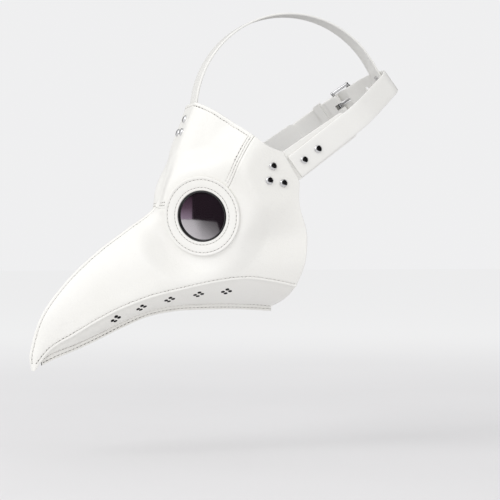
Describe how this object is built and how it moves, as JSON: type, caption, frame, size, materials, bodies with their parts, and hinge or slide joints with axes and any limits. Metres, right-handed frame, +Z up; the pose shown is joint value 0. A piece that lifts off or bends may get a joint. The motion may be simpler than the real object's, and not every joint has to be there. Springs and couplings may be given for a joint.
{
  "type": "plague doctor mask",
  "caption": "Beaked leather face mask with round smoked goggles, vented beak, riveted temple tabs, a crown strap and a buckled head strap.",
  "frame": {"origin": "middle of the wearer's head at eye level, where the mount named head is", "axes": "+X to the wearer's left, -Y forward along the beak, +Z up"},
  "size_m": [0.1624, 0.3723, 0.354],
  "materials": {
    "leather": "white grained leathercloth, satin",
    "straps": "white leathercloth strap, satin",
    "rubber": "black rubber, satin",
    "lens": "smoked, glossy",
    "rivets": "dark polished domes",
    "buckle": "polished"
  },
  "bodies": {
    "mask": {"forehead_panel": "leather", "beak_side_left": "leather", "beak_side_right": "leather", "beak_lower_left": "leather", "beak_lower_right": "leather", "eye_ring_left": "leather", "eye_ring_right": "leather", "lens_gasket_left": "rubber", "lens_gasket_right": "rubber", "lens_left": "lens", "lens_right": "lens", "eye_backing_left": "leather", "eye_backing_right": "leather", "temple_tab_left": "straps", "temple_tab_right": "straps", "temple_rivets_left": "rivets", "temple_rivets_right": "rivets", "temple_rivet_backs_left": "rivets", "temple_rivet_backs_right": "rivets", "tab_rivets_left": "rivets", "tab_rivets_right": "rivets", "tab_rivet_backs_left": "rivets", "tab_rivet_backs_right": "rivets", "forehead_rivets": "rivets", "forehead_rivet_backs": "rivets", "top_strap": "straps", "back_rivets": "rivets", "back_rivet_backs": "rivets", "side_strap_left": "straps", "side_strap_right": "straps", "buckle_frame": "buckle"},
    "tongue": {"buckle_tongue": "buckle"},
    "roller": {"buckle_roller": "buckle"},
    "keeper": {"strap_keeper": "straps"}
  },
  "joints": [
    {"name": "tongue_hinge", "type": "hinge", "parent": "mask", "child": "tongue", "pos_m": [-0.05444, 0.07451, 0.11828], "axis": [0, -0.6088, 0.7934], "range_deg": [0, 35]},
    {"name": "roller_spin", "type": "hinge", "parent": "mask", "child": "roller", "pos_m": [-0.04711, 0.08787, 0.12853], "axis": [0, -0.6088, 0.7934], "continuous": true},
    {"name": "keeper_slide", "type": "slide", "parent": "mask", "child": "keeper", "axis": [0.5736, 0.6499, 0.4987], "range_m": [-0.004, 0.004]}
  ]
}
